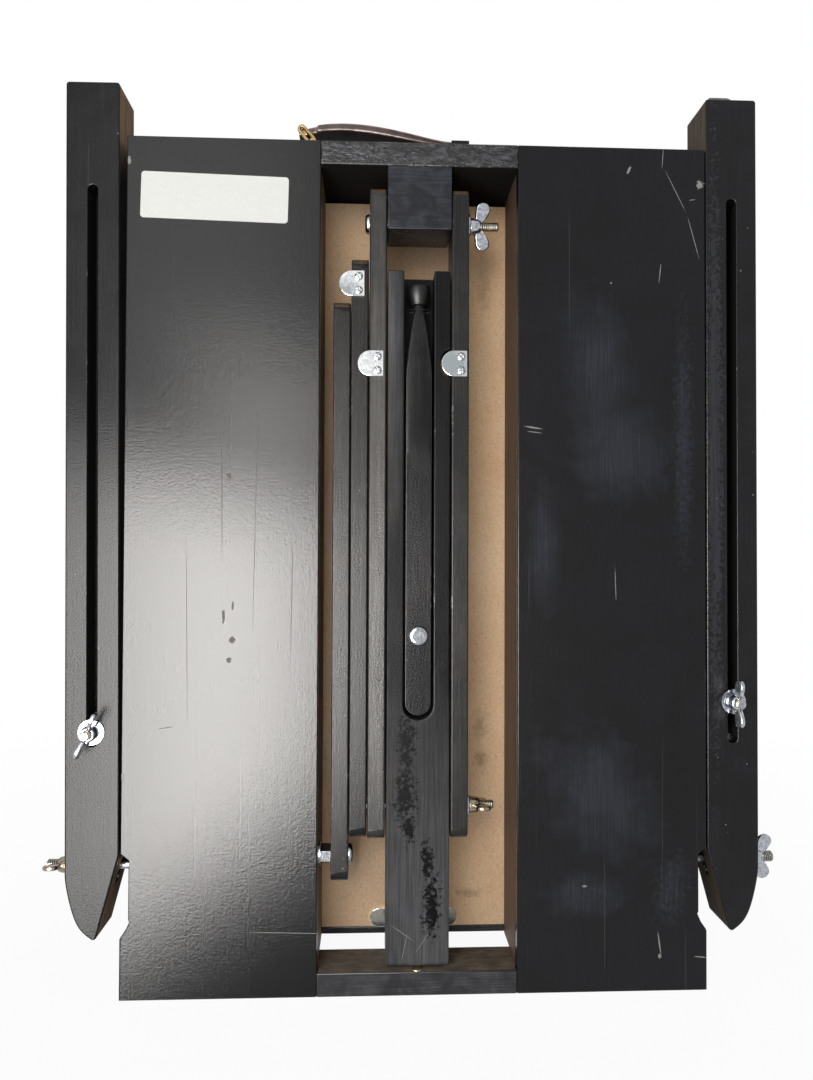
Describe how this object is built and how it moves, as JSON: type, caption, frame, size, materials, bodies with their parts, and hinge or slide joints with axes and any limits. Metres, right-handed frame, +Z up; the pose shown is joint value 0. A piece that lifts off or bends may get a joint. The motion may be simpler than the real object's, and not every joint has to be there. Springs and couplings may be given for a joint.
{
  "type": "box easel",
  "caption": "Folding wooden box easel, shut and stood on its front end, with folded front legs, a folded rear leg with strut in a channel, a drawer, palette, lid, mast and leather handle",
  "frame": {"origin": "middle of the base, where the front end of the shut box rests on the floor", "axes": "+X to the right as the underside is seen, +Y from the underside towards the lid, +Z up from the front end towards the handle"},
  "size_m": [0.4468, 0.1699, 0.5574],
  "materials": {
    "black_painted_wood": "satin black paint over wood, worn",
    "hardboard": "smooth hardboard",
    "bare_wood": "unpainted wood",
    "zinc_steel": "zinc plated",
    "black_metal": "black painted sheet",
    "leather": "worn brown leather",
    "brass": "dull brass",
    "rubber": "black rubber"
  },
  "bodies": {
    "case": {"bottom_panel_left": "black_painted_wood", "bottom_panel_right": "black_painted_wood", "side_boards": "black_painted_wood", "channel_walls": "black_painted_wood", "rear_end_board": "black_painted_wood", "front_rail": "black_painted_wood", "leg_block": "black_painted_wood", "palette_runners": "bare_wood", "case_side_studs": "zinc_steel", "case_hinge_leaves": "zinc_steel", "strut_pivot_fasteners": "zinc_steel", "handle_brackets": "black_metal"},
    "drawer": {"drawer_front": "black_painted_wood", "drawer_bottom": "hardboard", "drawer_sides_and_back": "bare_wood", "drawer_dividers": "bare_wood", "drawer_catch_plate": "zinc_steel"},
    "palette": {"palette": "bare_wood"},
    "lid": {"lid_panel": "black_painted_wood", "lid_frame": "black_painted_wood", "lid_hinge_leaves": "zinc_steel", "lid_stays": "zinc_steel", "lid_fasteners": "zinc_steel", "mast_guides": "bare_wood"},
    "mast": {"mast": "black_painted_wood"},
    "canvas_clamp": {"canvas_clamp": "zinc_steel"},
    "mast_wing_nut": {"mast_wing_nut": "zinc_steel"},
    "stay_wing_nut_left": {"stay_wing_nut_left": "zinc_steel"},
    "stay_wing_nut_right": {"stay_wing_nut_right": "zinc_steel"},
    "latch_hook_left": {"latch_hook_left": "zinc_steel"},
    "latch_hook_right": {"latch_hook_right": "zinc_steel"},
    "fork": {"fork_bars": "black_painted_wood", "fork_keeper_tabs": "zinc_steel", "fork_bolts": "zinc_steel"},
    "fork_pivot_wing_nut": {"fork_pivot_wing_nut": "zinc_steel"},
    "knee_wing_nut": {"knee_wing_nut": "zinc_steel"},
    "middle_leg": {"middle_leg": "black_painted_wood"},
    "inner_leg": {"inner_leg": "black_painted_wood", "rear_foot": "rubber", "inner_leg_bolt": "zinc_steel"},
    "inner_leg_wing_nut": {"inner_leg_wing_nut": "zinc_steel"},
    "strut_lower": {"strut_lower_bar": "black_painted_wood", "strut_elbow_rivet": "zinc_steel"},
    "strut_upper": {"strut_upper_bar": "black_painted_wood", "strut_keeper_tab": "zinc_steel"},
    "handle": {"handle_strap": "leather", "handle_end_cap": "brass"},
    "handle_link": {"handle_link": "brass"},
    "leg_pivot_left": {"leg_pivot_bolt_left": "zinc_steel"},
    "leg_left": {"leg_outer_left": "black_painted_wood"},
    "leg_lower_left": {"leg_lower_left": "black_painted_wood", "leg_clamp_bolt_left": "zinc_steel"},
    "leg_clamp_wing_nut_left": {"leg_clamp_wing_nut_left": "zinc_steel"},
    "leg_pivot_wing_nut_left": {"leg_pivot_wing_nut_left": "zinc_steel"},
    "leg_pivot_right": {"leg_pivot_bolt_right": "zinc_steel"},
    "leg_right": {"leg_outer_right": "black_painted_wood"},
    "leg_lower_right": {"leg_lower_right": "black_painted_wood", "leg_clamp_bolt_right": "zinc_steel"},
    "leg_clamp_wing_nut_right": {"leg_clamp_wing_nut_right": "zinc_steel"},
    "leg_pivot_wing_nut_right": {"leg_pivot_wing_nut_right": "zinc_steel"}
  },
  "joints": [
    {"name": "drawer_slide", "type": "slide", "parent": "case", "child": "drawer", "axis": [0, 0, -1], "range_m": [0, 0.38]},
    {"name": "palette_slide", "type": "slide", "parent": "case", "child": "palette", "axis": [0, 0, -1], "range_m": [0, 0.35]},
    {"name": "lid_hinge", "type": "hinge", "parent": "case", "child": "lid", "pos_m": [0, 0.04575, 0.5165], "axis": [1, 0, 0], "range_deg": [0, 75]},
    {"name": "mast_slide", "type": "slide", "parent": "lid", "child": "mast", "axis": [0, 0, -1], "range_m": [0, 0.25]},
    {"name": "canvas_clamp_slide", "type": "slide", "parent": "mast", "child": "canvas_clamp", "axis": [0, 0, 1], "range_m": [-0.034, 0.1]},
    {"name": "mast_wing_nut_turn", "type": "hinge", "parent": "lid", "child": "mast_wing_nut", "pos_m": [0, 0.0605, 0.21], "axis": [0, 1, 0], "continuous": true},
    {"name": "stay_wing_nut_turn_left", "type": "hinge", "parent": "case", "child": "stay_wing_nut_left", "pos_m": [-0.182, 0.03948, 0.44477], "axis": [-1, 0, 0], "continuous": true},
    {"name": "latch_hook_turn_left", "type": "hinge", "parent": "lid", "child": "latch_hook_left", "pos_m": [-0.177, 0.055, 0.06], "axis": [-1, 0, 0], "range_deg": [0, 90]},
    {"name": "stay_wing_nut_turn_right", "type": "hinge", "parent": "case", "child": "stay_wing_nut_right", "pos_m": [0.182, 0.03948, 0.44477], "axis": [1, 0, 0], "continuous": true},
    {"name": "latch_hook_turn_right", "type": "hinge", "parent": "lid", "child": "latch_hook_right", "pos_m": [0.177, 0.055, 0.06], "axis": [-1, 0, 0], "range_deg": [0, 90]},
    {"name": "fork_swing", "type": "hinge", "parent": "case", "child": "fork", "pos_m": [0, -0.0545, 0.4691], "axis": [-1, 0, 0], "range_deg": [0, 106]},
    {"name": "fork_pivot_wing_nut_turn", "type": "hinge", "parent": "fork", "child": "fork_pivot_wing_nut", "pos_m": [0.038, -0.0545, 0.4691], "axis": [1, 0, 0], "continuous": true},
    {"name": "knee_wing_nut_turn", "type": "hinge", "parent": "fork", "child": "knee_wing_nut", "pos_m": [0.038, -0.0545, 0.1087], "axis": [1, 0, 0], "continuous": true},
    {"name": "knee_fold", "type": "hinge", "parent": "fork", "child": "middle_leg", "pos_m": [0, -0.0545, 0.1087], "axis": [1, 0, 0], "range_deg": [0, 180]},
    {"name": "inner_leg_slide", "type": "slide", "parent": "middle_leg", "child": "inner_leg", "axis": [0, 0, 1], "range_m": [0, 0.198]},
    {"name": "inner_leg_wing_nut_turn", "type": "hinge", "parent": "inner_leg", "child": "inner_leg_wing_nut", "pos_m": [0, -0.0355, 0.2141], "axis": [0, 1, 0], "continuous": true},
    {"name": "strut_lower_turn", "type": "hinge", "parent": "case", "child": "strut_lower", "pos_m": [-0.0472, -0.0545, 0.0797], "axis": [1, 0, 0], "range_deg": [0, 25]},
    {"name": "strut_upper_turn", "type": "hinge", "parent": "fork", "child": "strut_upper", "pos_m": [-0.03615, -0.0545, 0.1087], "axis": [-1, 0, 0], "range_deg": [0, 27.4]},
    {"name": "leg_swing_left", "type": "hinge", "parent": "case", "child": "leg_pivot_left", "pos_m": [-0.19, -0.055, 0.075], "axis": [1, 0, 0], "range_deg": [0, 100]},
    {"name": "leg_splay_left", "type": "hinge", "parent": "leg_pivot_left", "child": "leg_left", "pos_m": [-0.208, -0.055, 0.075], "axis": [0, -1, 0], "range_deg": [0, 15.5]},
    {"name": "leg_extension_left", "type": "slide", "parent": "leg_left", "child": "leg_lower_left", "axis": [-0.0087, 0, 1], "range_m": [0, 0.318]},
    {"name": "leg_clamp_wing_nut_turn_left", "type": "hinge", "parent": "leg_lower_left", "child": "leg_clamp_wing_nut_left", "pos_m": [-0.19292, -0.077, 0.15793], "axis": [0, -1, 0], "continuous": true},
    {"name": "leg_pivot_wing_nut_turn_left", "type": "hinge", "parent": "leg_pivot_left", "child": "leg_pivot_wing_nut_left", "pos_m": [-0.215, -0.055, 0.075], "axis": [-1, 0, 0], "continuous": true},
    {"name": "leg_swing_right", "type": "hinge", "parent": "case", "child": "leg_pivot_right", "pos_m": [0.19, -0.055, 0.075], "axis": [1, 0, 0], "range_deg": [0, 100]},
    {"name": "leg_splay_right", "type": "hinge", "parent": "leg_pivot_right", "child": "leg_right", "pos_m": [0.208, -0.055, 0.075], "axis": [0, 1, 0], "range_deg": [0, 16]},
    {"name": "leg_extension_right", "type": "slide", "parent": "leg_right", "child": "leg_lower_right", "axis": [0, 0, 1], "range_m": [-0.0168, 0.3012]},
    {"name": "leg_clamp_wing_nut_turn_right", "type": "hinge", "parent": "leg_lower_right", "child": "leg_clamp_wing_nut_right", "pos_m": [0.1922, -0.077, 0.1746], "axis": [0, -1, 0], "continuous": true},
    {"name": "leg_pivot_wing_nut_turn_right", "type": "hinge", "parent": "leg_pivot_right", "child": "leg_pivot_wing_nut_right", "pos_m": [0.215, -0.055, 0.075], "axis": [1, 0, 0], "continuous": true},
    {"name": "handle_press", "type": "hinge", "parent": "case", "child": "handle", "pos_m": [0.022, -0.0525, 0.5164], "axis": [0, 1, 0], "range_deg": [-1.4, 0]},
    {"name": "handle_link_turn", "type": "hinge", "parent": "case", "child": "handle_link", "pos_m": [-0.0662, -0.0525, 0.517], "axis": [0, 1, 0], "range_deg": [-11.2, 0]}
  ],
  "couplings": [
    {"joint": "knee_fold", "follows": "fork_swing", "ratio": 1.6981},
    {"joint": "inner_leg_slide", "follows": "fork_swing", "m_per_rad": 0.10702},
    {"joint": "strut_lower_turn", "follows": "fork_swing", "ratio": 0.2342},
    {"joint": "strut_upper_turn", "follows": "fork_swing", "ratio": 0.256},
    {"joint": "handle_link_turn", "follows": "handle_press", "ratio": 8}
  ]
}
